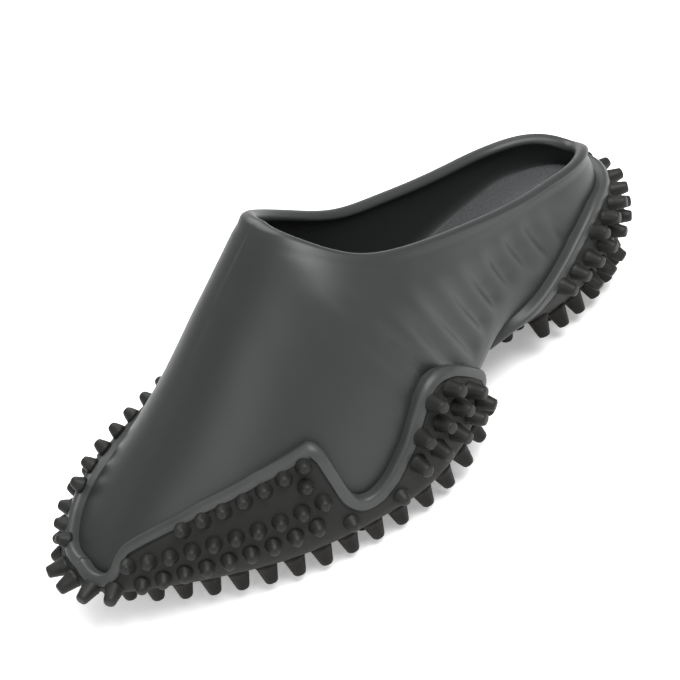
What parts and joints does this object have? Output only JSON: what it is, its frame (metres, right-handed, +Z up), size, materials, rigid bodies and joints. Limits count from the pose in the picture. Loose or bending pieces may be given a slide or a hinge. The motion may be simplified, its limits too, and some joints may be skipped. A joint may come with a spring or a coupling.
{
  "type": "moulded foam mule shoe",
  "caption": "Slip-on moulded foam mule, open at the heel, with two studded rubber outsoles and a removable footbed; left foot.",
  "frame": {"origin": "centre of the bounding box seen from above, on the plane of the studs the shoe stands on", "axes": "+X points to the toe, +Y to the wearer's left (the outer side of this left shoe), +Z up from the floor"},
  "size_m": [0.297, 0.1256, 0.1173],
  "materials": {
    "foam": "satin",
    "footbed": "matt",
    "outsole": "matt"
  },
  "bodies": {
    "root": {"upper": "foam", "insole": "footbed", "outsole_forefoot": "outsole", "outsole_heel": "outsole"}
  },
  "joints": []
}
